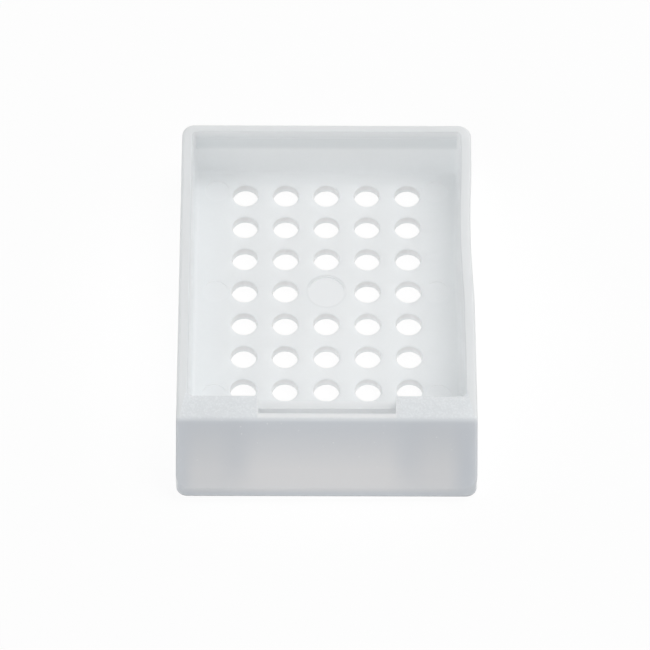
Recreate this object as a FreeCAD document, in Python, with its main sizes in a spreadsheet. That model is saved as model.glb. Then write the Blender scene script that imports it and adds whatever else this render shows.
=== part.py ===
import FreeCAD, Part
import Sketcher
import math
import os

# Base of a histology tissue cassette, one piece moulded in white acetal.
# Frame: X across, Y lengthwise with the writing panel at -Y, Z up.
# Origin: centre of the footprint, on the plane that the base stands on.
# All lengths are millimetres and all angles are degrees.

DRIVING_SIZES = {
    # whole tray
    "overall_length": 39.5,
    "overall_width": 28.6,
    "overall_height": 6.3,
    "outer_draft": 0.5,
    "back_corner_radius": 1.3,
    "front_corner_radius": 1.1,
    "outer_edge_radius": 0.3,
    "base_edge_radius": 0.25,
    # chamber that holds the tissue
    "side_rim": 1.1,
    "back_rim": 0.9,
    "floor_thickness": 1.1,
    "side_wall_draft": 1.5,
    "end_wall_draft": 13.5,
    "chamber_corner_radius": 0.5,
    "foot_radius": 0.45,
    "rim_inner_radius": 0.15,
    # moulding warp: the right wall bows in over part of its length
    "warp_depth": 0.25,
    "warp_length": 20.4,
    "warp_gap": 0.15,
    # snap groove for the lid's back edge
    "groove_drop": 0.8,
    "groove_height": 1.25,
    "groove_depth": 0.2,
    "groove_end_gap": 0.3,
    # writing panel and the hollow behind it
    "panel_angle": 45.0,
    "toe_height": 1.5,
    "panel_top_radius": 0.9,
    "panel_thickness": 1.2,
    "panel_rim": 0.6,
    "deck_length": 2.0,
    "deck_thickness": 1.2,
    "hollow_side_wall": 1.4,
    "rib_offset": 8.1,
    "rib_thickness": 0.9,
    # notch and slot for the lid's front tongue
    "notch_width": 13.0,
    "sill_drop": 1.5,
    "sill_thickness": 0.87,
    # drain holes
    "hole_diameter": 2.5,
    "hole_pitch_across": 4.0,
    "hole_pitch_along": 3.84,
    "hole_columns": 5,
    "hole_rows": 7,
    # marks left by the mould
    "gate_diameter": 3.5,
    "gate_depth": 0.12,
    "ejector_diameter": 2.4,
    "ejector_depth": 0.06,
    "ejector_inset": 2.25,
}

# Sizes that follow from the driving ones, as expressions on the sheet.
HALF_WIDTH = "Sizes.overall_width / 2"
HALF_LENGTH = "Sizes.overall_length / 2"
CHAMBER_DEPTH = "(Sizes.overall_height - Sizes.floor_thickness)"
SIDE_LEAN = f"{CHAMBER_DEPTH} * tan(Sizes.side_wall_draft)"
END_LEAN = f"{CHAMBER_DEPTH} * tan(Sizes.end_wall_draft)"
PANEL_RUN = "(Sizes.overall_height - Sizes.toe_height) / tan(Sizes.panel_angle)"
PANEL_TOP_Y = f"(-{HALF_LENGTH} + {PANEL_RUN})"
SLOT_FRONT_Y = f"({PANEL_TOP_Y} + Sizes.panel_rim)"
CHAMBER_RIM_HALF = f"({HALF_WIDTH} - Sizes.side_rim)"
CHAMBER_RIM_BACK = f"({HALF_LENGTH} - Sizes.back_rim)"
CHAMBER_RIM_FRONT = f"({SLOT_FRONT_Y} + Sizes.deck_length)"
CHAMBER_FLOOR_HALF = f"({CHAMBER_RIM_HALF} - {SIDE_LEAN})"
CHAMBER_FLOOR_BACK = f"({CHAMBER_RIM_BACK} - {END_LEAN})"
CHAMBER_FLOOR_FRONT = f"({CHAMBER_RIM_FRONT} + {END_LEAN})"
WARP_BACK = f"({CHAMBER_FLOOR_BACK} - Sizes.chamber_corner_radius - Sizes.warp_gap)"
FIELD_Y = f"(({CHAMBER_FLOOR_BACK} + {CHAMBER_FLOOR_FRONT}) / 2)"
DECK_UNDERSIDE = "(Sizes.overall_height - Sizes.deck_thickness)"
CLEAR = 1.0  # how far a cutting outline runs past the material it removes
TOLERANCE = 1e-4


def make_sheet(doc):
    sheet = doc.addObject("Spreadsheet::Sheet", "Sizes")
    for row, (name, value) in enumerate(DRIVING_SIZES.items(), start=1):
        sheet.set(f"A{row}", name)
        sheet.set(f"B{row}", str(value))
        sheet.setAlias(f"B{row}", name)
    doc.recompute()
    return sheet


def origin_plane(body, role):
    return next(item for item in body.Origin.OriginFeatures if item.Role == role)


def new_sketch(body, name, role, offset="0"):
    """A sketch on an origin plane, moved along the plane's normal by an expression."""
    sketch = body.newObject("Sketcher::SketchObject", name)
    sketch.AttachmentSupport = [(origin_plane(body, role), "")]
    sketch.MapMode = "FlatFace"
    sketch.setExpression("AttachmentOffset.Base.z", offset)
    return sketch


def drive(sketch, constraint, name, expression):
    """Adds a named dimension and binds it to the sheet."""
    index = sketch.addConstraint(constraint)
    sketch.renameConstraint(index, name)
    sketch.setExpression(f"Constraints.{name}", expression)


def pin_point(sketch, geometry, position, name, x_expression, y_expression):
    """Fixes a point's two coordinates, measured from the sketch's origin."""
    for axis, expression in (("X", x_expression), ("Y", y_expression)):
        value = sketch.evalExpression(expression)
        constraint = Sketcher.Constraint(f"Distance{axis}", -1, 1, geometry, position, value)
        drive(sketch, constraint, f"{name}_{axis.lower()}", expression)


def closed_outline(sketch, corners, arcs=None):
    """Draws a closed outline through corners, a list of (x, y) expressions.

    arcs gives, for the index of a side, its (radius expression, bulge sign): +1 bends
    the side to the left of its direction of travel and -1 bends it to the right.
    """
    arcs = arcs or {}
    points = []
    for x_expression, y_expression in corners:
        x = sketch.evalExpression(x_expression)
        y = sketch.evalExpression(y_expression)
        points.append(FreeCAD.Vector(x, y, 0))
    count = len(points)
    start_of = {}
    end_of = {}
    for side in range(count):
        start, end = points[side], points[(side + 1) % count]
        if side not in arcs:
            index = sketch.addGeometry(Part.LineSegment(start, end), False)
            start_of[side], end_of[side] = (index, 1), (index, 2)
            continue
        radius_expression, bulge = arcs[side]
        radius = sketch.evalExpression(radius_expression)
        chord = end - start
        left = FreeCAD.Vector(-chord.y, chord.x, 0).normalize()
        sagitta = radius - math.sqrt(max(radius ** 2 - chord.Length ** 2 / 4, 0.0))
        middle = (start + end) / 2 + left * (sagitta * bulge)
        index = sketch.addGeometry(Part.Arc(start, middle, end), False)
        # An arc of a sketch always runs anticlockwise, so a right-hand bulge keeps its order.
        ends = (1, 2) if bulge < 0 else (2, 1)
        start_of[side], end_of[side] = (index, ends[0]), (index, ends[1])
    for side in range(count):
        following = (side + 1) % count
        joint = Sketcher.Constraint("Coincident", *end_of[side], *start_of[following])
        sketch.addConstraint(joint)
        pin_point(sketch, *start_of[side], f"corner_{side}", *corners[side])
    for side, (radius_expression, bulge) in arcs.items():
        radius = sketch.evalExpression(radius_expression)
        constraint = Sketcher.Constraint("Radius", start_of[side][0], radius)
        drive(sketch, constraint, f"radius_{side}", radius_expression)


def warped_side(half):
    """Corners of the right side's warp, from front to back, and the arcs that join them."""
    quarter = "Sizes.warp_length / 4"
    bow = "Sizes.warp_depth / 2"
    radius = f"(({quarter}) ^ 2 + ({bow}) ^ 2) / ({bow} * 2)"
    corners = [
        (half, f"{WARP_BACK} - 4 * {quarter}"),
        (f"{half} - {bow}", f"{WARP_BACK} - 3 * {quarter}"),
        (f"{half} - {bow}", f"{WARP_BACK} - {quarter}"),
        (half, WARP_BACK),
    ]
    return corners, [(radius, -1), (radius, 1), (radius, -1)]


def extrude(body, kind, name, sketch, length, reversed_way=False):
    feature = body.newObject(kind, name)
    feature.Profile = sketch
    feature.Reversed = reversed_way
    feature.setExpression("Length", length)
    return feature


def draft_faces(doc, body, name, neutral_height, choose, angle_expression):
    """Leans the faces that choose picks, about their foot on the face at one height."""
    shape = body.Tip.Shape
    neutral = level_face(shape, neutral_height)
    draft = body.newObject("PartDesign::Draft", name)
    draft.Base = (draft.BaseFeature, name_faces(shape, choose(shape)))
    draft.NeutralPlane = (draft.BaseFeature, name_faces(shape, [neutral]))
    draft.setExpression("Angle", angle_expression)
    doc.recompute()


def side_profile_cut(body, name, corners, start, length):
    """Removes a side-view outline, from the plane X = start over a length towards +X."""
    sketch = new_sketch(body, f"{name}_outline", "YZ_Plane", start)
    closed_outline(sketch, corners)
    return extrude(body, "PartDesign::Pocket", name, sketch, length, reversed_way=True)


def name_edges(shape, wanted):
    names = []
    for index, edge in enumerate(shape.Edges, start=1):
        if any(edge.isSame(other) for other in wanted):
            names.append(f"Edge{index}")
    return names


def name_faces(shape, wanted):
    names = []
    for index, face in enumerate(shape.Faces, start=1):
        if any(face.isSame(other) for other in wanted):
            names.append(f"Face{index}")
    return names


def round_edges(doc, body, name, choose, radius_expression):
    """Rounds the edges that choose picks from the body's last shape."""
    shape = body.Tip.Shape
    fillet = body.newObject("PartDesign::Fillet", name)
    fillet.Base = (fillet.BaseFeature, name_edges(shape, choose(shape)))
    fillet.setExpression("Radius", radius_expression)
    doc.recompute()


def spans(shape, bottom, top):
    """True if a face or edge reaches exactly from one height to another."""
    box = shape.optimalBoundingBox()
    return abs(box.ZMin - bottom) < TOLERANCE and abs(box.ZMax - top) < TOLERANCE


def level_face(shape, height):
    """The largest flat face that lies at one height."""
    flat = [face for face in shape.Faces if isinstance(face.Surface, Part.Plane)]
    level = [
        face for face in flat
        if abs(face.normalAt(0, 0).z) > 1 - TOLERANCE
        and abs(face.CenterOfMass.z - height) < TOLERANCE
    ]
    return max(level, key=lambda face: face.Area)


def looks_up(face):
    low_u, high_u, low_v, high_v = face.ParameterRange
    return face.normalAt((low_u + high_u) / 2, (low_v + high_v) / 2).z > 0.1


def inner_edges(face):
    outer = face.OuterWire.Edges
    return [edge for edge in face.Edges if not any(edge.isSame(other) for other in outer)]


def circles(sketch, centres, diameter):
    for index, (x_expression, y_expression) in enumerate(centres):
        x = sketch.evalExpression(x_expression)
        y = sketch.evalExpression(y_expression)
        radius = sketch.evalExpression(diameter) / 2
        circle = Part.Circle(FreeCAD.Vector(x, y, 0), FreeCAD.Vector(0, 0, 1), radius)
        geometry = sketch.addGeometry(circle, False)
        pin_point(sketch, geometry, 3, f"centre_{index}", x_expression, y_expression)
        constraint = Sketcher.Constraint("Diameter", geometry, 2 * radius)
        drive(sketch, constraint, f"diameter_{index}", diameter)


def build_outer(doc, body):
    """The full block: round corners, a right side that bows in, and drafted sides."""
    back_round = "Sizes.back_corner_radius"
    front_round = "Sizes.front_corner_radius"
    warp_corners, warp_arcs = warped_side(HALF_WIDTH)
    corners = [
        (f"-{HALF_WIDTH} + {front_round}", f"-{HALF_LENGTH}"),
        (f"{HALF_WIDTH} - {front_round}", f"-{HALF_LENGTH}"),
        (HALF_WIDTH, f"-{HALF_LENGTH} + {front_round}"),
        *warp_corners,
        (HALF_WIDTH, f"{HALF_LENGTH} - {back_round}"),
        (f"{HALF_WIDTH} - {back_round}", HALF_LENGTH),
        (f"-{HALF_WIDTH} + {back_round}", HALF_LENGTH),
        (f"-{HALF_WIDTH}", f"{HALF_LENGTH} - {back_round}"),
        (f"-{HALF_WIDTH}", f"-{HALF_LENGTH} + {front_round}"),
    ]
    arcs = {1: (front_round, -1), 7: (back_round, -1), 9: (back_round, -1), 11: (front_round, -1)}
    arcs.update(enumerate(warp_arcs, start=3))
    footprint = new_sketch(body, "footprint", "XY_Plane")
    closed_outline(footprint, corners, arcs)
    extrude(body, "PartDesign::Pad", "tray_block", footprint, "Sizes.overall_height")
    doc.recompute()

    def sides(shape):
        height = body.evalExpression("Sizes.overall_height")
        return [face for face in shape.Faces if spans(face, 0.0, height)]

    draft_faces(doc, body, "outer_sides_draft", 0.0, sides, "Sizes.outer_draft")


def build_panel_slope(doc, body):
    """Slopes the front off for the writing panel and rounds its border and the rim."""
    above = f"Sizes.overall_height + {CLEAR}"
    beyond = f"-{HALF_LENGTH} - {CLEAR}"
    corners = [
        (PANEL_TOP_Y, "Sizes.overall_height"),
        (PANEL_TOP_Y, above),
        (beyond, above),
        (beyond, "Sizes.toe_height"),
        (f"-{HALF_LENGTH}", "Sizes.toe_height"),
    ]
    side_profile_cut(body, "panel_slope", corners, f"-{HALF_WIDTH} - {CLEAR}",
                     f"Sizes.overall_width + {2 * CLEAR}")
    doc.recompute()
    height = body.evalExpression("Sizes.overall_height")

    def crest(shape):
        rim = level_face(shape, height)
        return [min(rim.Edges, key=lambda edge: edge.CenterOfMass.y)]

    def border(shape):
        edges = [edge for face in shape.Faces if looks_up(face) for edge in face.Edges]
        return [edge for edge in edges if sum(edge.isSame(other) for other in edges) == 1]

    def base(shape):
        return level_face(shape, 0.0).Edges

    round_edges(doc, body, "panel_crest_round", crest, "Sizes.panel_top_radius")
    round_edges(doc, body, "border_round", border, "Sizes.outer_edge_radius")
    round_edges(doc, body, "base_round", base, "Sizes.base_edge_radius")


def build_chamber(doc, body):
    """The specimen chamber: its walls lean out, and its corners, foot and rim are rounded."""
    warp_corners, warp_arcs = warped_side(CHAMBER_FLOOR_HALF)
    corners = [
        (f"-{CHAMBER_FLOOR_HALF}", CHAMBER_FLOOR_FRONT),
        (CHAMBER_FLOOR_HALF, CHAMBER_FLOOR_FRONT),
        *warp_corners,
        (CHAMBER_FLOOR_HALF, CHAMBER_FLOOR_BACK),
        (f"-{CHAMBER_FLOOR_HALF}", CHAMBER_FLOOR_BACK),
    ]
    floor = new_sketch(body, "chamber_outline", "XY_Plane", "Sizes.floor_thickness")
    closed_outline(floor, corners, dict(enumerate(warp_arcs, start=2)))
    extrude(body, "PartDesign::Pocket", "chamber", floor, CHAMBER_DEPTH, reversed_way=True)
    doc.recompute()
    height = body.evalExpression("Sizes.overall_height")
    thickness = body.evalExpression("Sizes.floor_thickness")

    def walls(shape):
        return [face for face in shape.Faces if spans(face, thickness, height)]

    def ends(shape):
        return [face for face in walls(shape) if abs(face.normalAt(0, 0).y) > 0.9]

    def sides(shape):
        return [face for face in walls(shape) if abs(face.normalAt(0, 0).x) > 0.9]

    def upright_corners(shape):
        upright = [edge for edge in shape.Edges if spans(edge, thickness, height)]
        meeting = [edge for face in ends(shape) for edge in face.Edges]
        return [edge for edge in upright if any(edge.isSame(other) for other in meeting)]

    def foot(shape):
        return level_face(shape, thickness).Edges

    def mouth(shape):
        return inner_edges(level_face(shape, height))

    draft_faces(doc, body, "chamber_sides_draft", thickness, sides, "Sizes.side_wall_draft")
    draft_faces(doc, body, "chamber_ends_draft", thickness, ends, "Sizes.end_wall_draft")
    round_edges(doc, body, "chamber_corner_round", upright_corners, "Sizes.chamber_corner_radius")
    round_edges(doc, body, "chamber_foot_round", foot, "Sizes.foot_radius")
    round_edges(doc, body, "chamber_mouth_round", mouth, "Sizes.rim_inner_radius")


def build_snap_groove(doc, body):
    lean = "tan(Sizes.end_wall_draft)"
    groove_top = "(Sizes.overall_height - Sizes.groove_drop)"
    groove_bottom = f"({groove_top} - Sizes.groove_height)"
    wall_at_top = f"({CHAMBER_RIM_BACK} - Sizes.groove_drop * {lean})"
    wall_at_bottom = f"({wall_at_top} - Sizes.groove_height * {lean})"
    corners = [
        (f"{wall_at_bottom} - {CLEAR}", groove_bottom),
        (wall_at_bottom, groove_bottom),
        (f"{wall_at_bottom} + Sizes.groove_depth", f"{groove_bottom} + Sizes.groove_depth"),
        (f"{wall_at_top} + Sizes.groove_depth", groove_top),
        (f"{wall_at_bottom} - {CLEAR}", groove_top),
    ]
    half = f"({CHAMBER_RIM_HALF} - Sizes.groove_end_gap)"
    side_profile_cut(body, "snap_groove", corners, f"-{half}", f"2 * {half}")
    doc.recompute()


def build_hollow(doc, body):
    """The hollow behind the writing panel, open below, in three cells between two ribs."""
    panel_reach = "Sizes.panel_thickness / sin(Sizes.panel_angle)"
    lean = "tan(Sizes.end_wall_draft)"
    wall_foot = (f"({CHAMBER_FLOOR_FRONT} + Sizes.floor_thickness * {lean}"
                 " - Sizes.sill_thickness)")
    toe_inside = f"(-{HALF_LENGTH} + Sizes.panel_thickness)"
    slope_foot = (f"(Sizes.toe_height + (Sizes.panel_thickness - {panel_reach})"
                  " * tan(Sizes.panel_angle))")
    slope_head = (f"(-{HALF_LENGTH} + {panel_reach} + ({DECK_UNDERSIDE} - Sizes.toe_height)"
                  " / tan(Sizes.panel_angle))")
    corners = [
        (toe_inside, f"-{CLEAR}"),
        (f"{wall_foot} + {CLEAR} * {lean}", f"-{CLEAR}"),
        (f"{wall_foot} - {DECK_UNDERSIDE} * {lean}", DECK_UNDERSIDE),
        (slope_head, DECK_UNDERSIDE),
        (toe_inside, slope_foot),
    ]
    rib_inside = "(Sizes.rib_offset - Sizes.rib_thickness / 2)"
    rib_outside = "(Sizes.rib_offset + Sizes.rib_thickness / 2)"
    side_profile_cut(body, "middle_cell", corners, f"-{rib_inside}", f"2 * {rib_inside}")
    side_length = f"{HALF_WIDTH} - Sizes.hollow_side_wall - {rib_outside}"
    cell = side_profile_cut(body, "right_cell", corners, rib_outside, side_length)
    doc.recompute()
    mirrored = body.newObject("PartDesign::Mirrored", "left_cell")
    mirrored.Originals = [cell]
    mirrored.MirrorPlane = (origin_plane(body, "YZ_Plane"), [""])
    body.Tip = mirrored
    doc.recompute()


def build_notch(doc, body):
    """The notch in the deck: its floor is the sill, and in front the slot opens below."""
    sill = "(Sizes.overall_height - Sizes.sill_drop)"
    above = f"Sizes.overall_height + {CLEAR}"
    corners = [
        (SLOT_FRONT_Y, sill),
        (CHAMBER_FLOOR_FRONT, sill),
        (CHAMBER_FLOOR_FRONT, above),
        (SLOT_FRONT_Y, above),
    ]
    side_profile_cut(body, "tongue_notch", corners, "-Sizes.notch_width / 2",
                     "Sizes.notch_width")
    doc.recompute()


def build_drain_holes(doc, body):
    """A row of holes through the floor, repeated lengthwise."""
    sketch = new_sketch(body, "hole_row", "XY_Plane", "Sizes.floor_thickness")
    first_row = f"{FIELD_Y} - (Sizes.hole_rows - 1) / 2 * Sizes.hole_pitch_along"
    sketch.setExpression("AttachmentOffset.Base.y", first_row)
    doc.recompute()
    columns = int(body.evalExpression("Sizes.hole_columns"))
    centres = [
        (f"({column} - (Sizes.hole_columns - 1) / 2) * Sizes.hole_pitch_across", "0")
        for column in range(columns)
    ]
    circles(sketch, centres, "Sizes.hole_diameter")
    row = body.newObject("PartDesign::Pocket", "drain_hole_row")
    row.Profile = sketch
    row.Type = "ThroughAll"
    doc.recompute()
    rows = body.newObject("PartDesign::LinearPattern", "drain_holes")
    rows.Originals = [row]
    rows.Direction = (sketch, ["V_Axis"])
    rows.setExpression("Length", "(Sizes.hole_rows - 1) * Sizes.hole_pitch_along")
    rows.setExpression("Occurrences", "Sizes.hole_rows")
    body.Tip = rows
    doc.recompute()


def build_mould_marks(doc, body):
    """The solid middle of the hole field with its gate recess, and the ejector marks."""
    pad = new_sketch(body, "gate_pad_outline", "XY_Plane")
    circles(pad, [("0", FIELD_Y)], "Sizes.gate_diameter")
    extrude(body, "PartDesign::Pad", "gate_pad", pad, "Sizes.floor_thickness - Sizes.gate_depth / 2")
    recess = new_sketch(body, "gate_recess_outline", "XY_Plane", "Sizes.floor_thickness")
    circles(recess, [("0", FIELD_Y)], "Sizes.gate_diameter")
    extrude(body, "PartDesign::Pocket", "gate_recess", recess, "Sizes.gate_depth")
    marks = new_sketch(body, "ejector_outline", "XY_Plane", "Sizes.floor_thickness")
    across = f"({CHAMBER_FLOOR_HALF} - Sizes.ejector_inset)"
    back = f"{CHAMBER_FLOOR_BACK} - Sizes.ejector_inset"
    front = f"{CHAMBER_FLOOR_FRONT} + Sizes.ejector_inset"
    centres = [(f"{side}{across}", y) for side in ("", "-") for y in (back, FIELD_Y, front)]
    circles(marks, centres, "Sizes.ejector_diameter")
    extrude(body, "PartDesign::Pocket", "ejector_marks", marks, "Sizes.ejector_depth")
    doc.recompute()


def check(doc, body):
    """Stops if a feature failed or if the body is not one sound solid."""
    for item in doc.Objects:
        if "Invalid" in item.State or "Error" in item.State:
            raise RuntimeError(f"{item.Name} failed: {item.State}")
    shape = body.Shape
    if shape.isNull() or not shape.isValid() or len(shape.Solids) != 1:
        raise RuntimeError(f"{body.Label} is not one valid solid")


def main():
    doc = FreeCAD.newDocument("tissue_cassette")
    make_sheet(doc)
    body = doc.addObject("PartDesign::Body", "cassette_base")
    body.Label = "cassette_base"
    for step in (build_outer, build_panel_slope, build_chamber, build_snap_groove,
                 build_hollow, build_notch, build_drain_holes, build_mould_marks):
        step(doc, body)
    check(doc, body)
    os.makedirs("parts", exist_ok=True)
    body.Shape.exportStep(f"parts/{body.Label}.step")
    box = body.Shape.optimalBoundingBox()
    print(f"{body.Label}: {box.XLength:.2f} x {box.YLength:.2f} x {box.ZLength:.2f} mm, "
          f"{body.Shape.Volume:.1f} mm3")


main()
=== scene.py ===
import math

import bmesh
import bpy
from mathutils import Matrix, Vector


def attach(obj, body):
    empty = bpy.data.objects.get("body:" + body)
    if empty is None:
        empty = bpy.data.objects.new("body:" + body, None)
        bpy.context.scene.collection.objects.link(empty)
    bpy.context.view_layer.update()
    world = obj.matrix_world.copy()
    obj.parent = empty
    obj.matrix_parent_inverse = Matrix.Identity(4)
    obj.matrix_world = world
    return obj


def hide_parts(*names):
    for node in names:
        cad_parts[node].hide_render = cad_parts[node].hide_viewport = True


# Base of a histology tissue cassette, moulded in white acetal, on a pale studio floor.
# Metres throughout, in the part's own frame: X across, Y lengthwise, Z up. Angles are in degrees.

MM = 0.001

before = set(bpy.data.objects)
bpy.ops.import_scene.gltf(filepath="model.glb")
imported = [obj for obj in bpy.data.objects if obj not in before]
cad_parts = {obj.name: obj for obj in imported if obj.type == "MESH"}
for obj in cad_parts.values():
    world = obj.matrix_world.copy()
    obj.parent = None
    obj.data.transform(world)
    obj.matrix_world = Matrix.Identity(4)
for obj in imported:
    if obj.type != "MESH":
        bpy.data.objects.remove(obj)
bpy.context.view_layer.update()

# The moulding, as packed: drain holes, floor, deck and writing panel.
HOLE_PITCH = (4.0 * MM, 3.84 * MM)
HOLE_COUNT = (5, 7)
HOLE_RADIUS = 1.25 * MM
HOLE_SIDES = 48
HOLE_FIELD_Y = 3.25 * MM
FLOOR_THICKNESS = 1.1 * MM
RIM_ROUND = 0.15 * MM
RIM_ROUND_STEPS = 4
GATE_CLEARANCE = 2.0 * MM
DECK_TOP = 6.3 * MM
DECK_SKIN = 0.4 * MM
DECK_BACK_Y = -11.0 * MM
PANEL_TOP_Y = -14.0 * MM
PANEL_OUT = Vector((0.0, -math.sqrt(0.5), math.sqrt(0.5)))

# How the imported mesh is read: what counts as the same point, level or radius, how far each kind of face looks
# up or out, and the angle from which an edge is a crease.
SAME_POINT = 0.001 * MM
SAME_LEVEL = 0.005 * MM
SAME_RADIUS = 0.02 * MM
FLAT_LEAST_UP = 0.999
UPRIGHT_MOST_UP = 0.1
DECK_LEAST_UP = 0.5
PANEL_LEAST_OUT = 0.3
CREASE_ANGLE = 32

# Painted light and shade in the chamber, each with the places where it begins and ends, and the share that
# shows.
# First come the painted highlights on the discs that the gate and the ejector pins leave on the floor, then the
# painted shade on the gate's step.
GATE_RADIUS = 1.75 * MM
PIN_RADIUS = 1.2 * MM
PIN_COLUMNS = 10.81 * MM
PIN_ROWS = 12.1 * MM
PIN_SHARE = 0.35
DISC_SHARE = 0.75
# The ring round each disc is a painted highlight.
HIGHLIGHT_RING_SHARE = 0.25
HIGHLIGHT_RING = (0.03 * MM, 0.14 * MM)
FLOOR_SKIN = (0.15 * MM, 0.3 * MM)
GATE_STEP = 1.85 * MM
GATE_STEP_REACH = (0.05 * MM, 0.22 * MM)
GATE_STEP_BACK = (HOLE_FIELD_Y, HOLE_FIELD_Y + 1.15 * MM)
GATE_STEP_FRONT_SHARE = 0.3

# Then come the painted shade in the snap groove, on the rims and on the holes' walls, and the painted light on
# the strips beside the slot and on the left wall.
GROOVE_TOP = (5.1 * MM, 5.3 * MM)
GROOVE_FOOT = (3.9 * MM, 4.5 * MM)
GROOVE_ENDS = (12.8 * MM, 13.0 * MM)
GROOVE_PLACE = 18.5 * MM
GROOVE_REACH = (0.5 * MM, 0.7 * MM)
RIM_LEVEL = (6.1 * MM, 6.25 * MM)
HOLE_RIM = (FLOOR_THICKNESS - RIM_ROUND, FLOOR_THICKNESS)
HOLE_SHADE = (0.0, 0.7 * MM)
HOLE_FOOT_SHARE = 0.3
HOLES_ACROSS = (9.4 * MM, 9.5 * MM)
HOLES_ALONG = (12.9 * MM, 13.0 * MM)
SLOT_PLACE = -13.4 * MM
SLOT_REACH = (1.3 * MM, 1.6 * MM)
SLOT_ENDS = (6.4 * MM, 6.7 * MM)
LEFT_WALL = -12.9 * MM
LEFT_WALL_REACH = (0.2 * MM, 0.6 * MM)
LEFT_WALL_ALONG = (-4.0 * MM, 9.0 * MM)
LEFT_WALL_FRONT_SHARE = 0.2
LEFT_WALL_BACK = (11.0 * MM, 15.0 * MM)
LEFT_WALL_FOOT = (1.1 * MM, 1.8 * MM)

# The writing panel gets painted light where its wall is thin, over the hollow's three cells, for the light that
# comes through from below. The two shares of a rib are those at its foot and higher up.
RIB_PLACE = 8.1 * MM
RIB_SHADE = (0.0, 2.2 * MM)
RIB_FOOT = (1.4 * MM, 3.6 * MM)
RIB_SHARES = (0.8, 0.48)
SIDE_CELLS = (7.5 * MM, 9.7 * MM)
SIDE_CELL_SHARE = 0.75
CELL_ENDS = (11.6 * MM, 13.9 * MM)
CELL_CEILING = (2.8 * MM, 6.3 * MM)
CELL_SHIFT = -0.45 * MM
CELL_FOOT = (0.4 * MM, 1.9 * MM)
# Where a painted shade runs the deck's front edge into the panel, across the crest.
FRONT_EDGE = (-15.35 * MM, -14.6 * MM)
# Where the toe's lowest edge gets a painted shadow.
TOE_EDGE = (0.1 * MM, 0.35 * MM)

# Handling has nicked the panel. A nick's size is a share of the spacing, and only the luckier ones show.
NICK_SPACING = 0.8 * MM
NICK_SIZE = (0.04, 0.13)
NICK_LUCK = (0.3, 0.9)
NICKS_HEIGHT = (2.0 * MM, 4.5 * MM)
NICK_SHARES = (0.05, 0.35)

# White acetal: how milky it is, how far light spreads inside it, and its whites from place to place, with the
# painted light and shade laid over them.
ACETAL_IOR = 1.48
MILKINESS = 0.65
BODY_SCATTER = 6.0 * MM
FRONT_SCATTER = 2.0 * MM
ACETAL_WHITE = "#F4F8FA"
CLOUDY_WHITE = "#F3F7F9"
# Painted shade on the rim tops.
RIM_PAINTED_SHADE = "#E8ECEE"
# Painted shade in the snap groove.
GROOVE_PAINTED_SHADE = "#E4E9EB"
# Painted light on the slot strips and the left wall, and painted highlights on the mould marks.
PAINTED_LIGHT_WHITE = "#FAFDFF"
# Painted shade on the hole walls.
HOLE_PAINTED_SHADE = "#E2E2E2"
# Painted shade on the gate's step.
GATE_STEP_PAINTED_SHADE = "#E4E8EA"
DECK_WHITE = "#E8ECEF"
# Painted glints of the deck's grain.
DECK_PAINTED_GLINT = "#F0F4F7"
# Painted light over the panel's cells, and painted shade where its wall is thick, which also darkens the deck's
# front edge.
PANEL_PAINTED_GLOW = "#E5E5E6"
PANEL_PAINTED_SHADE = "#D2D6DB"
# Painted shadow along the toe's lowest edge.
TOE_PAINTED_SHADOW = "#8A8682"
NICK_WHITE = "#FFFFFF"

# The skin of each finish: the size and depth of its bumps, how rough it is, and where its paler clouds or
# painted glints begin.
SATIN_SIZE, SATIN_DEPTH, SATIN_ROUGHNESS = 0.25 * MM, 0.008 * MM, 0.42
SATIN_CLOUDS = (0.3, 0.7)
DECK_SIZE, DECK_DEPTH, DECK_ROUGHNESS = 0.2 * MM, 0.03 * MM, 0.55
DECK_GLINT_LEVELS = (0.42, 0.7)
PANEL_SIZE, PANEL_DEPTH, PANEL_ROUGHNESS = 0.16 * MM, 0.006 * MM, 0.6

# The studio: white paper with a lit pad under the part, a white room, and six soft boxes.
STUDIO_WHITE = "#FFFFFF"
PAPER_WHITE = "#F2F2F2"
FLOOR_HALF = 0.6
FLOOR_DROP = 0.01 * MM
FLOOR_WHITE_SHARE = 0.9
PAD_EDGE = (14.0 * MM, 30.0 * MM)
PAD_GLOW = 0.3
FLOOR_GLOW = 0.1
WORLD_STRENGTH = 0.28
LAMP_DISTANCE = 0.8
LAMP_SIZE = 0.5
# Azimuth (0 is in front, at -Y, and 90 is at +X), elevation and watts.
LAMPS = {
    "right_key": (90.0, 42.0, 1.0),
    "right_back": (135.0, 57.0, 2.15),
    "left_front": (320.0, 32.0, 0.85),
    "front": (0.0, 50.0, 0.65),
    "left_fill": (270.0, 40.0, 0.5),
    "back_fill": (180.0, 22.0, 0.3),
}
CAMERA_TURN = -0.555
CAMERA_ELEVATION = 55.744
CAMERA_ROLL = 0.622
CAMERA_DISTANCE = 428.93 * MM
CAMERA_AIM = Vector((-0.132, 0.031, 0.0)) * MM
CAMERA_LENS = 243.81
SENSOR_WIDTH = 36.0
NEAREST_SEEN = 0.01
FARTHEST_SEEN = 10.0


def linear(code):
    """An sRGB hex colour as linear red, green, blue and alpha."""
    channels = [int(code[start:start + 2], 16) / 255 for start in (1, 3, 5)]
    return [c / 12.92 if c <= 0.04045 else ((c + 0.055) / 1.055) ** 2.4 for c in channels] + [1.0]


def add_node(tree, kind, settings=None, inputs=None):
    """Adds a node. An input's value is a plain value, or an output socket to link from."""
    node = tree.nodes.new(kind)
    for name, value in (settings or {}).items():
        setattr(node, name, value)
    for name, value in (inputs or {}).items():
        socket = node.inputs[name]
        if isinstance(value, bpy.types.NodeSocket):
            tree.links.new(value, socket)
        else:
            socket.default_value = value
    return node


def new_material(name):
    """An empty material and its node tree."""
    material = bpy.data.materials.new(name)
    material.use_nodes = True
    material.node_tree.nodes.clear()
    return material, material.node_tree


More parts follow.
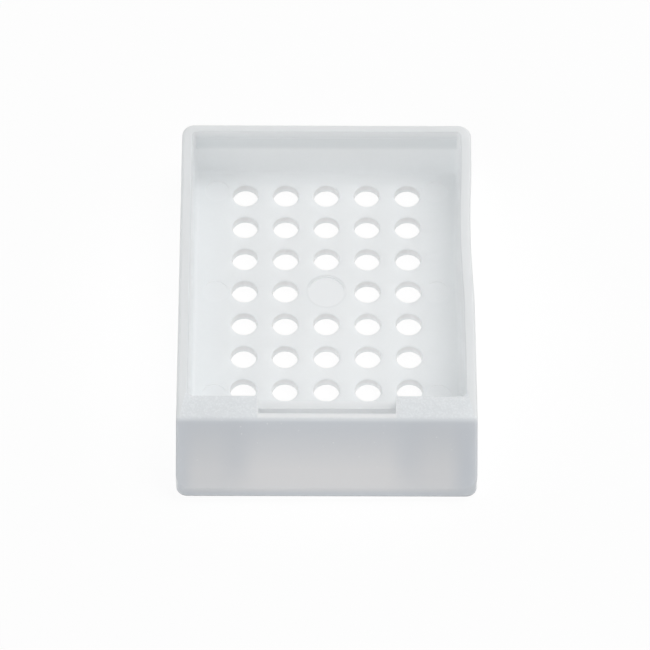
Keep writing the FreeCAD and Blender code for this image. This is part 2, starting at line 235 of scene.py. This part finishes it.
def part_place(tree):
    """The place on the part, as a vector and as its X, Y and Z."""
    place = add_node(tree, "ShaderNodeTexCoord").outputs["Object"]
    return place, add_node(tree, "ShaderNodeSeparateXYZ", inputs={"Vector": place}).outputs


def moulded_skin(tree, place, size, depth):
    """The skin that the mould's steel leaves: its uneven height from 0 to 1, and its normal."""
    height = add_node(tree, "ShaderNodeTexNoise", inputs={
        "Vector": place, "Scale": 1 / size, "Detail": 2.0, "Roughness": 0.6}).outputs["Fac"]
    normal = add_node(tree, "ShaderNodeBump", inputs={"Height": height, "Distance": depth}).outputs["Normal"]
    return height, normal


def white_acetal(tree, colour, scatter, roughness, normal):
    """White acetal: a milky, waxy plastic. Light soaks in and comes out millimetres away, so thin walls glow
    and shadows stay soft, under a dull satin skin."""
    shader = add_node(tree, "ShaderNodeBsdfPrincipled", inputs={
        "Base Color": colour,
        "Roughness": roughness,
        "IOR": ACETAL_IOR,
        "Subsurface Weight": MILKINESS,
        "Subsurface Radius": (1.0, 1.0, 1.0),
        "Subsurface Scale": scatter,
        "Normal": normal,
    })
    add_node(tree, "ShaderNodeOutputMaterial", inputs={"Surface": shader.outputs["BSDF"]})


def region(tree, *limits, curve="SMOOTHSTEP"):
    """How far each place is inside a region, from 0 to 1. A limit is another region, or a measure with its
    two ends and what it is worth at each of them. It changes smoothly between them, or evenly where the curve
    is linear. The limits are multiplied."""
    worth = None
    for limit in limits:
        if isinstance(limit, tuple):
            value, ends, start, stop = limit
            limit = add_node(tree, "ShaderNodeMapRange", {"interpolation_type": curve}, {
                "Value": value, "From Min": ends[0], "From Max": ends[1],
                "To Min": start, "To Max": stop}).outputs["Result"]
        worth = limit if worth is None else add_node(
            tree, "ShaderNodeMath", {"operation": "MULTIPLY"}, {0: worth, 1: limit}).outputs[0]
    return worth


def shaded(tree, white, *shades):
    """A white with other whites laid over it, each as far as its region reaches."""
    colour = linear(white)
    for reach, shade in shades:
        colour = add_node(tree, "ShaderNodeMix", {"data_type": "RGBA"}, {
            0: reach, 6: colour, 7: linear(shade)}).outputs[2]
    return colour


def apart(tree, value, mark):
    """How far a coordinate is from a mark on its axis."""
    offset = add_node(tree, "ShaderNodeMath", {"operation": "SUBTRACT"}, {0: value, 1: mark}).outputs[0]
    return add_node(tree, "ShaderNodeMath", {"operation": "ABSOLUTE"}, {0: offset}).outputs[0]


def radius_from(tree, across, along):
    """The distance to a centre that is this far across and along."""
    arm = add_node(tree, "ShaderNodeCombineXYZ", inputs={"X": across, "Y": along}).outputs["Vector"]
    return add_node(tree, "ShaderNodeVectorMath", {"operation": "LENGTH"}, {0: arm}).outputs["Value"]


def from_gate(tree, spot):
    """How far a place is from the gate, in the middle of the field of holes."""
    return radius_from(tree, spot["X"], apart(tree, spot["Y"], HOLE_FIELD_Y))


def disc(tree, reach, radius, share):
    """A round mark of the mould, painted as a pale disc with a painted highlight a little stronger on the ring
    round its edge, and 0 outside.
    """
    ring_highlight = region(tree, (apart(tree, reach, radius), HIGHLIGHT_RING, HIGHLIGHT_RING_SHARE * share, 0.0))
    inside = region(tree, (reach, (radius, radius + HIGHLIGHT_RING[1]), DISC_SHARE * share, 0.0))
    return add_node(tree, "ShaderNodeMath", {"operation": "ADD"}, {0: inside, 1: ring_highlight}).outputs[0]


def mould_marks(tree, spot):
    """Where the marks of the gate and the ejector pins get painted highlights on the chamber floor."""
    along = apart(tree, spot["Y"], HOLE_FIELD_Y)
    gate = disc(tree, from_gate(tree, spot), GATE_RADIUS, 1.0)
    to_pin_row = add_node(tree, "ShaderNodeMath", {"operation": "MINIMUM"}, {
        0: along, 1: apart(tree, along, PIN_ROWS)}).outputs[0]
    to_pin_column = apart(tree, apart(tree, spot["X"], 0.0), PIN_COLUMNS)
    pins = disc(tree, radius_from(tree, to_pin_column, to_pin_row), PIN_RADIUS, PIN_SHARE)
    either = add_node(tree, "ShaderNodeMath", {"operation": "MAXIMUM"}, {0: gate, 1: pins}).outputs[0]
    return region(tree, either, (apart(tree, spot["Z"], FLOOR_THICKNESS), FLOOR_SKIN, 1.0, 0.0))


def gate_step(tree, spot):
    """Painted shade on the step down into the gate's disc, strongest on its back side."""
    return region(tree, (apart(tree, from_gate(tree, spot), GATE_STEP), GATE_STEP_REACH, 1.0, 0.0),
                  (spot["Y"], GATE_STEP_BACK, GATE_STEP_FRONT_SHARE, 1.0))


def snap_groove(tree, spot):
    """Painted shade in the snap groove under the back rim, where little light comes back out."""
    return region(tree, (spot["Z"], GROOVE_TOP, 1.0, 0.0), (spot["Z"], GROOVE_FOOT, 0.0, 1.0),
                  (apart(tree, spot["Y"], GROOVE_PLACE), GROOVE_REACH, 1.0, 0.0),
                  (apart(tree, spot["X"], 0.0), GROOVE_ENDS, 1.0, 0.0))


def hole_walls(tree, spot):
    """Painted shade on the walls of the drain holes, greyer towards their upper rims."""
    return region(tree, (spot["Z"], HOLE_RIM, 1.0, 0.0), (spot["Z"], HOLE_SHADE, HOLE_FOOT_SHARE, 1.0),
                  (from_gate(tree, spot), (GATE_RADIUS, GATE_RADIUS + HIGHLIGHT_RING[1]), 0.0, 1.0),
                  (apart(tree, spot["X"], 0.0), HOLES_ACROSS, 1.0, 0.0),
                  (apart(tree, spot["Y"], HOLE_FIELD_Y), HOLES_ALONG, 1.0, 0.0))


def left_wall(tree, spot):
    """Painted light on the inside of the left wall before the back corner, where the thin wall passes the most
    light.
    """
    return region(tree, (apart(tree, spot["X"], LEFT_WALL), LEFT_WALL_REACH, 1.0, 0.0),
                  (spot["Y"], LEFT_WALL_ALONG, LEFT_WALL_FRONT_SHARE, 1.0),
                  (spot["Y"], LEFT_WALL_BACK, 1.0, 0.0),
                  (spot["Z"], LEFT_WALL_FOOT, 0.0, 1.0), (spot["Z"], RIM_LEVEL, 1.0, 0.0))


def slot_strips(tree, spot):
    """Painted light on the sill and the strip beside the slot, which are thin and pass light from the table
    below.
    """
    return region(tree, (apart(tree, spot["Y"], SLOT_PLACE), SLOT_REACH, 1.0, 0.0),
                  (apart(tree, spot["X"], 0.0), SLOT_ENDS, 1.0, 0.0))


def panel_cells(tree, spot):
    """Where painted light shows on the panel over the cells of the hollow: less over its ribs, and 0 over its
    ends, its ceiling and the toe. The ribs show less towards the foot, where light comes in from below."""
    across = apart(tree, spot["X"], CELL_SHIFT)
    on_rib = region(tree, (spot["Z"], RIB_FOOT, *RIB_SHARES))
    below = region(tree, (apart(tree, across, RIB_PLACE), RIB_SHADE, on_rib, 1.0),
                   (across, SIDE_CELLS, 1.0, SIDE_CELL_SHARE), (across, CELL_ENDS, 1.0, 0.0),
                   (spot["Z"], CELL_FOOT, 0.0, 1.0))
    return region(tree, below, (spot["Z"], CELL_CEILING, 1.0, 0.0), curve="LINEAR")


def handling_nicks(tree, place, spot):
    """A few tiny raised nicks under 1 mm apart, most of them high on the panel."""
    cells = add_node(tree, "ShaderNodeTexVoronoi", inputs={
        "Vector": place, "Scale": 1 / NICK_SPACING, "Randomness": 1.0}).outputs
    luck = add_node(tree, "ShaderNodeSeparateColor", inputs={"Color": cells["Color"]}).outputs["Red"]
    return region(tree, (cells["Distance"], NICK_SIZE, 1.0, 0.0), (luck, NICK_LUCK, 0.0, 1.0),
                  (spot["Z"], NICKS_HEIGHT, *NICK_SHARES))


def satin_acetal():
    """Moulded against a finely polished steel, so it is even, with a faint cloudiness in the plastic, in
    patches of 0.25 mm."""
    material, tree = new_material("white_acetal_satin_moulded")
    place, spot = part_place(tree)
    height, normal = moulded_skin(tree, place, SATIN_SIZE, SATIN_DEPTH)
    # Painted shade on the rims, the groove, the hole walls and the gate's step; painted light on the slot
    # strips and the left wall; painted highlights on the mould marks.
    colour = shaded(tree, CLOUDY_WHITE,
                    (region(tree, (height, SATIN_CLOUDS, 0.0, 1.0)), ACETAL_WHITE),
                    (region(tree, (spot["Z"], RIM_LEVEL, 0.0, 1.0)), RIM_PAINTED_SHADE),
                    (snap_groove(tree, spot), GROOVE_PAINTED_SHADE),
                    (slot_strips(tree, spot), PAINTED_LIGHT_WHITE),
                    (left_wall(tree, spot), PAINTED_LIGHT_WHITE),
                    (hole_walls(tree, spot), HOLE_PAINTED_SHADE),
                    (mould_marks(tree, spot), PAINTED_LIGHT_WHITE),
                    (gate_step(tree, spot), GATE_STEP_PAINTED_SHADE))
    white_acetal(tree, colour, BODY_SCATTER, SATIN_ROUGHNESS, normal)
    return material


def spark_eroded_acetal():
    """The deck takes a sandy grain from spark-eroded steel, in its bumps and in painted glints: pale points
    beside tiny shadows. The real grain is near 0.05 mm, and it is drawn at 0.2 mm so that it shows."""
    material, tree = new_material("white_acetal_spark_eroded")
    place, spot = part_place(tree)
    height, normal = moulded_skin(tree, place, DECK_SIZE, DECK_DEPTH)
    # Painted glints of the grain, painted light on the strip beside the slot, and a painted shade along the
    # front edge.
    colour = shaded(tree, DECK_WHITE,
                    (region(tree, (height, DECK_GLINT_LEVELS, 0.0, 1.0)), DECK_PAINTED_GLINT),
                    (slot_strips(tree, spot), PAINTED_LIGHT_WHITE),
                    (region(tree, (spot["Y"], FRONT_EDGE, 1.0, 0.0)), PANEL_PAINTED_SHADE))
    white_acetal(tree, colour, FRONT_SCATTER, DECK_ROUGHNESS, normal)
    return material


def frosted_acetal():
    """The writing panel is frosted to take pencil. The real frosting is finer than 0.1 mm, and it is drawn at
    0.16 mm so that it shows. The wall is thin over the hollow's cells, which lets light through; that light is
    painted in as soft lighter areas between the ribs, over a painted shade on the rest of the panel. The lowest
    edge has a painted shadow from its own foot, and handling has left a few pale nicks."""
    material, tree = new_material("white_acetal_frosted_panel")
    place, spot = part_place(tree)
    _, normal = moulded_skin(tree, place, PANEL_SIZE, PANEL_DEPTH)
    # Painted shade over the panel, painted light over the cells, the deck's white over the crest, a painted
    # shadow along the toe, and pale nicks.
    colour = shaded(tree, PANEL_PAINTED_SHADE,
                    (panel_cells(tree, spot), PANEL_PAINTED_GLOW),
                    (region(tree, (spot["Y"], FRONT_EDGE, 0.0, 1.0)), DECK_WHITE),
                    (region(tree, (spot["Z"], TOE_EDGE, 1.0, 0.0)), TOE_PAINTED_SHADOW),
                    (handling_nicks(tree, place, spot), NICK_WHITE))
    white_acetal(tree, colour, FRONT_SCATTER, PANEL_ROUGHNESS, normal)
    return material


def drain_hole_tree():
    """A grid of hole walls. Each is a tube whose two ends flare into round rims, and the mould's gate takes
    the middle one."""
    tree = bpy.data.node_groups.new("drain_holes", "GeometryNodeTree")
    kinds = {"Pitch Across": "Float", "Pitch Along": "Float", "Columns": "Int", "Rows": "Int",
             "Hole Radius": "Float", "Floor Thickness": "Float", "Rim Round": "Float", "Round Steps": "Int",
             "Sides": "Int", "Gate Clearance": "Float", "Field Centre": "Vector", "Finish": "Material"}
    for name, kind in kinds.items():
        tree.interface.new_socket(name, in_out="INPUT", socket_type="NodeSocket" + kind)
    tree.interface.new_socket("Geometry", in_out="OUTPUT", socket_type="NodeSocketGeometry")
    given = add_node(tree, "NodeGroupInput").outputs
    place = add_node(tree, "GeometryNodeInputPosition").outputs["Position"]
    spot = add_node(tree, "ShaderNodeSeparateXYZ", inputs={"Vector": place}).outputs

    # Each sum is an operation on numbers, the tree's inputs, X, Y or Z, or the sums above it. The tube has
    # unit radius, and its rings, counted from the foot, become the steps of two quarter rounds.
    sums = {
        "pitches across": ("SUBTRACT", "Columns", 1.0),
        "pitches along": ("SUBTRACT", "Rows", 1.0),
        "field width": ("MULTIPLY", "Pitch Across", "pitches across"),
        "field length": ("MULTIPLY", "Pitch Along", "pitches along"),
        "rings": ("MULTIPLY_ADD", "Round Steps", 2.0, 1.0),
        "share of height": ("DIVIDE", "Z", "Floor Thickness"),
        "ring from middle": ("MULTIPLY", "share of height", "rings"),
        "rings away": ("ABSOLUTE", "ring from middle"),
        "step": ("SUBTRACT", "rings away", 0.5),
        "share of round": ("DIVIDE", "step", "Round Steps"),
        "angle": ("MULTIPLY", "share of round", math.pi / 2),
        "cosine": ("COSINE", "angle"),
        "sine": ("SINE", "angle"),
        "lean": ("SUBTRACT", 1.0, "cosine"),
        "flare": ("MULTIPLY", "Rim Round", "lean"),
        "radius": ("ADD", "Hole Radius", "flare"),
        "half floor": ("MULTIPLY", "Floor Thickness", 0.5),
        "straight": ("SUBTRACT", "half floor", "Rim Round"),
        "reach": ("MULTIPLY_ADD", "Rim Round", "sine", "straight"),
        "up or down": ("SIGN", "ring from middle"),
        "height": ("MULTIPLY", "up or down", "reach"),
        "across": ("MULTIPLY", "X", "radius"),
        "along": ("MULTIPLY", "Y", "radius"),
    }
    known = {name: given[name] for name in kinds} | {axis: spot[axis] for axis in "XYZ"}
    for name, (operation, *terms) in sums.items():
        inputs = {slot: known.get(term, term) for slot, term in enumerate(terms)}
        known[name] = add_node(tree, "ShaderNodeMath", {"operation": operation}, inputs).outputs[0]

    centres = add_node(tree, "GeometryNodeMeshGrid", inputs={
        "Size X": known["field width"], "Size Y": known["field length"],
        "Vertices X": given["Columns"], "Vertices Y": given["Rows"]})
    to_gate = add_node(tree, "ShaderNodeVectorMath", {"operation": "LENGTH"}, {0: place}).outputs["Value"]
    open_hole = add_node(tree, "FunctionNodeCompare", {"data_type": "FLOAT", "operation": "GREATER_THAN"}, {
        0: to_gate, 1: given["Gate Clearance"]}).outputs["Result"]
    tube = add_node(tree, "GeometryNodeMeshCylinder", {"fill_type": "NONE"}, {
        "Vertices": given["Sides"], "Side Segments": known["rings"],
        "Radius": 1.0, "Depth": given["Floor Thickness"]})
    wall_point = add_node(tree, "ShaderNodeCombineXYZ", inputs={
        "X": known["across"], "Y": known["along"], "Z": known["height"]})
    wall = add_node(tree, "GeometryNodeSetPosition", inputs={
        "Geometry": tube.outputs["Mesh"], "Position": wall_point.outputs["Vector"]})
    facing_in = add_node(tree, "GeometryNodeFlipFaces", inputs={"Mesh": wall.outputs["Geometry"]})
    holes = add_node(tree, "GeometryNodeInstanceOnPoints", inputs={
        "Points": centres.outputs["Mesh"], "Selection": open_hole, "Instance": facing_in.outputs["Mesh"]})
    moved = add_node(tree, "GeometryNodeTranslateInstances", inputs={
        "Instances": holes.outputs["Instances"], "Translation": given["Field Centre"], "Local Space": False})
    solid = add_node(tree, "GeometryNodeRealizeInstances", inputs={"Geometry": moved.outputs["Instances"]})
    finished = add_node(tree, "GeometryNodeSetMaterial", inputs={
        "Geometry": solid.outputs["Geometry"], "Material": given["Finish"]})
    add_node(tree, "NodeGroupOutput", inputs={"Geometry": finished.outputs["Geometry"]})
    return tree


def drain_hole_mesh(finish):
    """The hole walls as a plain mesh."""
    sizes = {"Pitch Across": HOLE_PITCH[0], "Pitch Along": HOLE_PITCH[1], "Columns": HOLE_COUNT[0],
             "Rows": HOLE_COUNT[1], "Hole Radius": HOLE_RADIUS, "Floor Thickness": FLOOR_THICKNESS,
             "Rim Round": RIM_ROUND, "Round Steps": RIM_ROUND_STEPS, "Sides": HOLE_SIDES,
             "Gate Clearance": GATE_CLEARANCE, "Field Centre": (0.0, HOLE_FIELD_Y, FLOOR_THICKNESS / 2),
             "Finish": finish}
    holder = bpy.data.objects.new("drain_holes", bpy.data.meshes.new("drain_holes_start"))
    bpy.context.scene.collection.objects.link(holder)
    grid = holder.modifiers.new("drain_holes", "NODES")
    grid.node_group = drain_hole_tree()
    for socket in grid.node_group.interface.items_tree:
        if socket.in_out == "INPUT":
            grid[socket.identifier] = sizes[socket.name]
    ready = holder.evaluated_get(bpy.context.evaluated_depsgraph_get())
    walls = bpy.data.meshes.new_from_object(ready)
    bpy.data.objects.remove(holder)
    return walls


def on_hole(point):
    """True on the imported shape's own hole walls."""
    across = point.x - round(point.x / HOLE_PITCH[0]) * HOLE_PITCH[0]
    along = point.y - HOLE_FIELD_Y
    along -= round(along / HOLE_PITCH[1]) * HOLE_PITCH[1]
    return abs(math.hypot(across, along) - HOLE_RADIUS) < SAME_RADIUS


def at_level(item, level):
    """True for an edge or a face that lies at one height."""
    return all(abs(corner.co.z - level) < SAME_LEVEL for corner in item.verts)


def fill_level(shape, level, out):
    """Closes a flat face round the openings at its edges. It looks up where out is 1, down where it is -1."""
    edges = [edge for edge in shape.edges if edge.is_boundary and at_level(edge, level)]
    made = bmesh.ops.triangle_fill(shape, edges=edges, use_beauty=True, normal=(0.0, 0.0, out))["geom"]
    for face in made:
        if isinstance(face, bmesh.types.BMFace):
            face.normal_update()
            if face.normal.z * out < 0:
                face.normal_flip()


def finish_of(face):
    """0 for plain moulded faces, 1 for the spark-eroded deck, 2 for the frosted writing panel."""
    middle, out = face.calc_center_median(), face.normal
    if middle.y < PANEL_TOP_Y and out.dot(PANEL_OUT) > max(out.z, PANEL_LEAST_OUT):
        return 2
    on_deck = middle.y < DECK_BACK_Y and middle.z > DECK_TOP - DECK_SKIN and out.z > DECK_LEAST_UP
    return 1 if on_deck else 0


def moulding(node):
    """The whole base in one piece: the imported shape, with worn round rims on its drain holes."""
    finishes = [satin_acetal(), spark_eroded_acetal(), frosted_acetal()]
    shape = bmesh.new()
    shape.from_mesh(node.data)
    bmesh.ops.remove_doubles(shape, verts=shape.verts, dist=SAME_POINT)
    flats = [face for face in shape.faces if abs(face.normal.z) > FLAT_LEAST_UP
             and (at_level(face, 0.0) or at_level(face, FLOOR_THICKNESS))]
    walls = [face for face in shape.faces if abs(face.normal.z) < UPRIGHT_MOST_UP
             and all(on_hole(corner.co) for corner in face.verts)]
    bmesh.ops.delete(shape, geom=flats + walls, context="FACES")
    shape.from_mesh(drain_hole_mesh(finishes[0]))
    fill_level(shape, 0.0, -1.0)
    fill_level(shape, FLOOR_THICKNESS, 1.0)
    for face in shape.faces:
        face.smooth = True
        face.material_index = finish_of(face)
    for edge in shape.edges:
        edge.smooth = edge.calc_face_angle(0.0) < math.radians(CREASE_ANGLE)
    mesh = bpy.data.meshes.new("moulding")
    shape.to_mesh(mesh)
    shape.free()
    for finish in finishes:
        mesh.materials.append(finish)
    mesh.attributes.remove(mesh.attributes["custom_normal"])
    piece = bpy.data.objects.new("moulding", mesh)
    bpy.context.scene.collection.objects.link(piece)
    weigh = piece.modifiers.new("flat_faces_stay_flat", "WEIGHTED_NORMAL")
    weigh.keep_sharp = True
    ready = piece.evaluated_get(bpy.context.evaluated_depsgraph_get())
    finished = bpy.data.meshes.new_from_object(ready)
    piece.modifiers.clear()
    piece.data = finished
    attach(piece, "root")
    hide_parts("cassette_base")


def seen_directly(tree):
    """1 for camera, glossy and transmission rays, which see the white studio itself."""
    path = add_node(tree, "ShaderNodeLightPath")
    either = add_node(tree, "ShaderNodeMath", {"operation": "MAXIMUM"}, {
        0: path.outputs["Is Camera Ray"], 1: path.outputs["Is Glossy Ray"]})
    return add_node(tree, "ShaderNodeMath", {"operation": "MAXIMUM"}, {
        0: either.outputs[0], 1: path.outputs["Is Transmission Ray"]}).outputs[0]


def studio_floor():
    """White paper that keeps the part's shadow. It glows softly, most of all under the part, as a lit table
    does."""
    material, tree = new_material("studio_floor_white_paper")
    paper = add_node(tree, "ShaderNodeBsdfDiffuse", inputs={"Color": linear(PAPER_WHITE)})
    spot = add_node(tree, "ShaderNodeNewGeometry").outputs["Position"]
    away = add_node(tree, "ShaderNodeVectorMath", {"operation": "LENGTH"}, {0: spot}).outputs["Value"]
    glow = add_node(tree, "ShaderNodeEmission", inputs={
        "Color": linear(STUDIO_WHITE), "Strength": region(tree, (away, PAD_EDGE, PAD_GLOW, FLOOR_GLOW))})
    table = add_node(tree, "ShaderNodeAddShader", inputs={
        0: paper.outputs["BSDF"], 1: glow.outputs["Emission"]})
    white = add_node(tree, "ShaderNodeEmission", inputs={"Color": linear(STUDIO_WHITE), "Strength": 1.0})
    share = add_node(tree, "ShaderNodeMath", {"operation": "MULTIPLY"}, {
        0: seen_directly(tree), 1: FLOOR_WHITE_SHARE}).outputs[0]
    mix = add_node(tree, "ShaderNodeMixShader", inputs={
        0: share, 1: table.outputs["Shader"], 2: white.outputs["Emission"]})
    add_node(tree, "ShaderNodeOutputMaterial", inputs={"Surface": mix.outputs["Shader"]})
    mesh = bpy.data.meshes.new("studio_floor")
    corners = [(x * FLOOR_HALF, y * FLOOR_HALF, 0.0) for x, y in ((-1, -1), (1, -1), (1, 1), (-1, 1))]
    mesh.from_pydata(corners, [], [(0, 1, 2, 3)])
    mesh.materials.append(material)
    floor = bpy.data.objects.new("studio_floor", mesh)
    floor.location.z = -FLOOR_DROP
    bpy.context.scene.collection.objects.link(floor)


def studio_world():
    """A white room, which lights the part more weakly than it looks."""
    world = bpy.data.worlds.new("studio")
    world.use_nodes = True
    tree = world.node_tree
    tree.nodes.clear()
    fill = add_node(tree, "ShaderNodeBackground", inputs={
        "Color": linear(STUDIO_WHITE), "Strength": WORLD_STRENGTH})
    white = add_node(tree, "ShaderNodeBackground", inputs={"Color": linear(STUDIO_WHITE), "Strength": 1.0})
    mix = add_node(tree, "ShaderNodeMixShader", inputs={
        0: seen_directly(tree), 1: fill.outputs["Background"], 2: white.outputs["Background"]})
    add_node(tree, "ShaderNodeOutputWorld", inputs={"Surface": mix.outputs["Shader"]})
    bpy.context.scene.world = world


def direction(azimuth, elevation):
    """The unit vector from the part towards a lamp or the camera."""
    turn, rise = math.radians(azimuth), math.radians(elevation)
    return Vector((math.sin(turn) * math.cos(rise), -math.cos(turn) * math.cos(rise), math.sin(rise)))


def soft_lamp(name, azimuth, elevation, power):
    """A square soft box that faces the part."""
    back = direction(azimuth, elevation)
    light = bpy.data.lights.new(name, "AREA")
    light.size = LAMP_SIZE
    light.energy = power
    lamp = bpy.data.objects.new(name, light)
    lamp.location = back * LAMP_DISTANCE
    lamp.rotation_euler = back.to_track_quat("Z", "Y").to_euler()
    bpy.context.scene.collection.objects.link(lamp)


def camera():
    """The camera looks down at the part from in front, rolled a little."""
    turn = math.radians(CAMERA_TURN)
    back = direction(CAMERA_TURN, CAMERA_ELEVATION)
    right = Vector((math.cos(turn), math.sin(turn), 0.0))
    up = back.cross(right)
    data = bpy.data.cameras.new("camera")
    data.lens = CAMERA_LENS
    data.sensor_width = SENSOR_WIDTH
    data.clip_start = NEAREST_SEEN
    data.clip_end = FARTHEST_SEEN
    eye = bpy.data.objects.new("camera", data)
    axes = Matrix((right, up, back)).transposed().to_4x4()
    eye.matrix_world = (Matrix.Translation(CAMERA_AIM + back * CAMERA_DISTANCE) @ axes
                        @ Matrix.Rotation(math.radians(CAMERA_ROLL), 4, "Z"))
    bpy.context.scene.collection.objects.link(eye)
    bpy.context.scene.camera = eye


moulding(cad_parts["cassette_base"])

studio_floor()
studio_world()
for lamp_name, aim_and_power in LAMPS.items():
    soft_lamp(lamp_name, *aim_and_power)
camera()
bpy.context.scene.view_settings.view_transform = "Standard"
